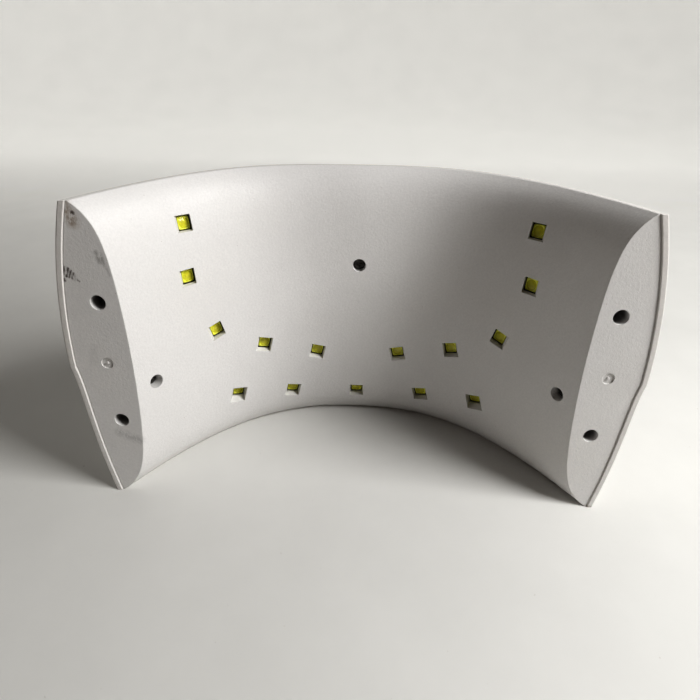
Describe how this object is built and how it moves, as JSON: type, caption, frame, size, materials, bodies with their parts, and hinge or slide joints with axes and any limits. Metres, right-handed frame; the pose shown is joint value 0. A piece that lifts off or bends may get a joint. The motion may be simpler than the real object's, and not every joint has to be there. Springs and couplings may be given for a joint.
{
  "type": "uv curing lamp",
  "caption": "Arch-shaped white lamp that a hand goes under, with square UV LEDs in windows in its liner, a timer display, press buttons and a round power inlet.",
  "frame": {"origin": "bottom centre of the bounding box, on the rear rim's plane", "axes": "The lamp stands on its rear rim: +Z runs from the rear rim to the front rim, -Y is the side that the two foot faces look towards, +Y is the crest and +X is the right side seen from -Y. In use it is turned so that the foot faces rest on a table and +Z looks at the user."},
  "size_m": [0.2122, 0.0844, 0.118],
  "materials": {
    "shell_white": "satin white ABS with a fine spark texture",
    "liner_white": "white ABS with a fine spark texture",
    "led_phosphor": "yellow-green silicone over the LED dies",
    "led_board_mask": "black solder mask on an aluminium board",
    "board_green": "green solder mask",
    "component_black": "moulded epoxy",
    "ferrite_grey": "ferrite",
    "capacitor_sleeve": "heat-shrunk sleeve",
    "connector_white": "nylon",
    "display_black": "display body",
    "display_tint": "smoke-tinted clear acrylic",
    "button_white": "satin button caps",
    "plunger_black": "moulded nylon",
    "screw_steel": "dark zinc plate",
    "jack_black": "moulded black",
    "nickel_plate": "nickel plate",
    "wire_white": "PVC insulation",
    "wire_red": "PVC insulation",
    "wire_black": "PVC insulation"
  },
  "bodies": {
    "case": {"board_screws": "screw_steel", "control_board": "board_green", "display_module": "display_black", "display_window": "display_tint", "foot_screws": "screw_steel", "inner_liner": "liner_white", "led_board_01": "led_board_mask", "led_board_02": "led_board_mask", "led_board_03": "led_board_mask", "led_board_04": "led_board_mask", "led_board_05": "led_board_mask", "led_board_06": "led_board_mask", "led_board_07": "led_board_mask", "led_board_08": "led_board_mask", "led_board_09": "led_board_mask", "led_board_10": "led_board_mask", "led_board_11": "led_board_mask", "led_board_12": "led_board_mask", "led_board_13": "led_board_mask", "led_board_14": "led_board_mask", "led_board_15": "led_board_mask", "led_driver_transistor": "component_black", "led_harness_left": "wire_white", "led_harness_right": "wire_white", "led_plug_left": "connector_white", "led_plug_right": "connector_white", "liner_screws": "screw_steel", "microcontroller": "component_black", "outer_shell": "shell_white", "power_inductor": "ferrite_grey", "power_jack_housing": "jack_black", "power_jack_nut": "nickel_plate", "power_jack_pin": "nickel_plate", "power_lead_black": "wire_black", "power_lead_red": "wire_red", "smoothing_capacitor": "capacitor_sleeve", "switch_body_left": "component_black", "switch_body_middle": "component_black", "switch_body_right": "component_black", "uv_led_01": "led_phosphor", "uv_led_02": "led_phosphor", "uv_led_03": "led_phosphor", "uv_led_04": "led_phosphor", "uv_led_05": "led_phosphor", "uv_led_06": "led_phosphor", "uv_led_07": "led_phosphor", "uv_led_08": "led_phosphor", "uv_led_09": "led_phosphor", "uv_led_10": "led_phosphor", "uv_led_11": "led_phosphor", "uv_led_12": "led_phosphor", "uv_led_13": "led_phosphor", "uv_led_14": "led_phosphor", "uv_led_15": "led_phosphor"},
    "button_left": {"timer_button_left": "button_white", "switch_plunger_left": "plunger_black"},
    "button_middle": {"timer_button_middle": "button_white", "switch_plunger_middle": "plunger_black"},
    "button_right": {"timer_button_right": "button_white", "switch_plunger_right": "plunger_black"}
  },
  "joints": [
    {"name": "press_left", "type": "slide", "parent": "case", "child": "button_left", "axis": [0, -0.993, -0.1182], "range_m": [0, 0.0005], "stiffness_N_per_m": 800},
    {"name": "press_middle", "type": "slide", "parent": "case", "child": "button_middle", "axis": [0, -0.993, -0.1182], "range_m": [0, 0.0005], "stiffness_N_per_m": 800},
    {"name": "press_right", "type": "slide", "parent": "case", "child": "button_right", "axis": [0, -0.993, -0.1182], "range_m": [0, 0.0005], "stiffness_N_per_m": 800}
  ]
}
